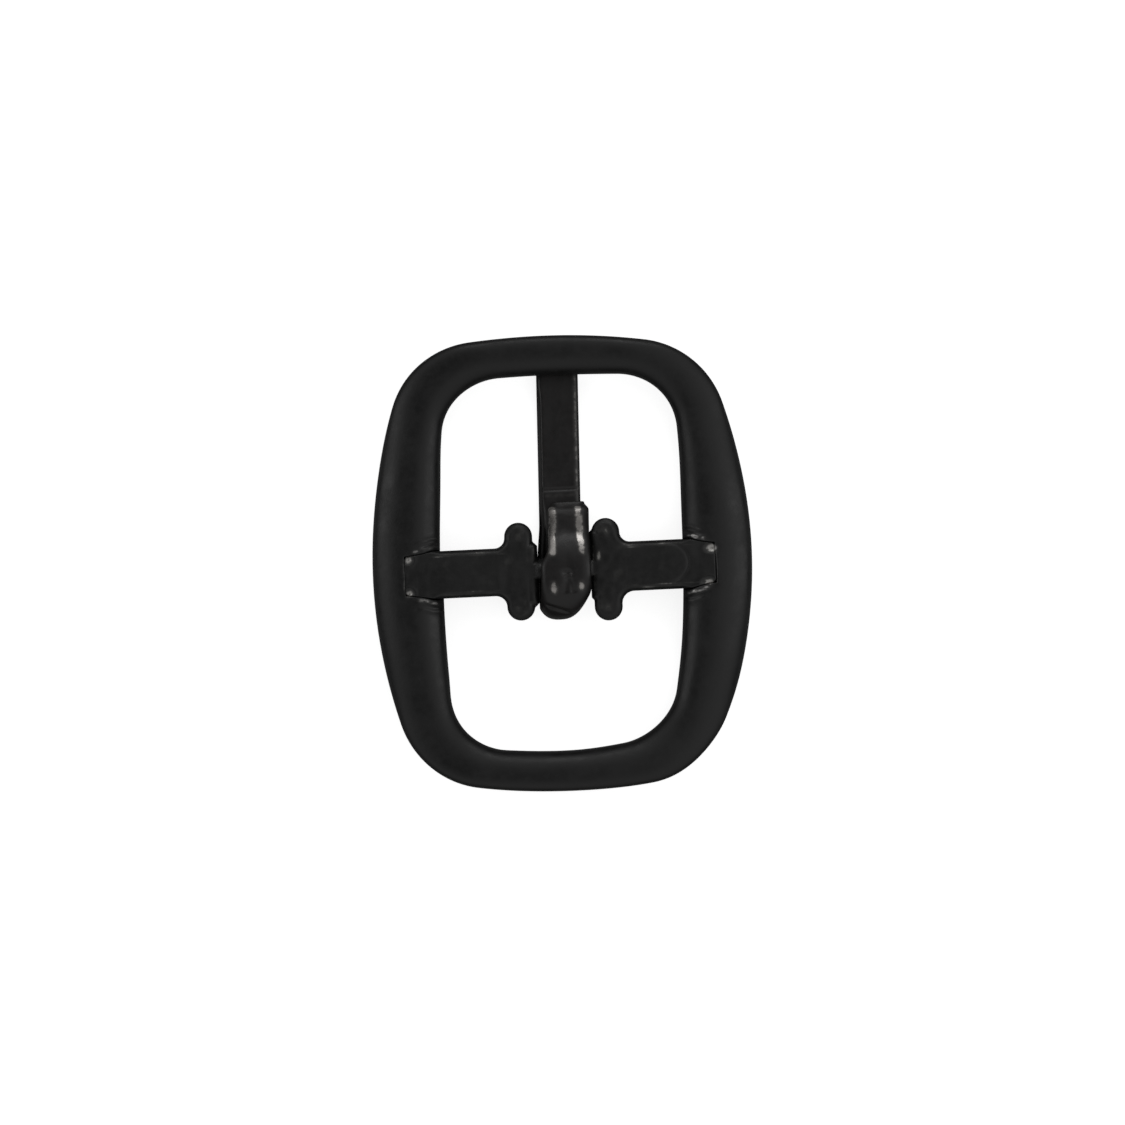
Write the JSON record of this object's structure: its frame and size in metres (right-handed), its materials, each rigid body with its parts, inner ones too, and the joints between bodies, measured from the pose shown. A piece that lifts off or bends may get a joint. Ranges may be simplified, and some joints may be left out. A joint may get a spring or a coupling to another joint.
{
  "type": "belt buckle",
  "caption": "Centre-bar belt buckle: domed oval frame in black, flat bar with tongue stops let into the back, and a swinging curled-strip tongue.",
  "frame": {"origin": "middle of the buckle's outline, on the plane that the two front lands of the side rails rest on", "axes": "+X along the centre bar, +Y from the bar to the tip of the tongue, +Z out of the back of the buckle, where the bar is let in"},
  "size_m": [0.0408, 0.0489, 0.0065],
  "materials": {
    "frame": "black satin plating",
    "bar": "black satin plating",
    "tongue": "black plating, slightly glossier"
  },
  "bodies": {
    "body": {"frame": "frame", "centre_bar": "bar"},
    "tongue": {"tongue": "tongue"}
  },
  "joints": [
    {"name": "tongue_swing", "type": "hinge", "parent": "body", "child": "tongue", "pos_m": [0, -0.00068, 0.0036], "axis": [-0.9997, -0.0244, 0], "range_deg": [0, 165]}
  ]
}
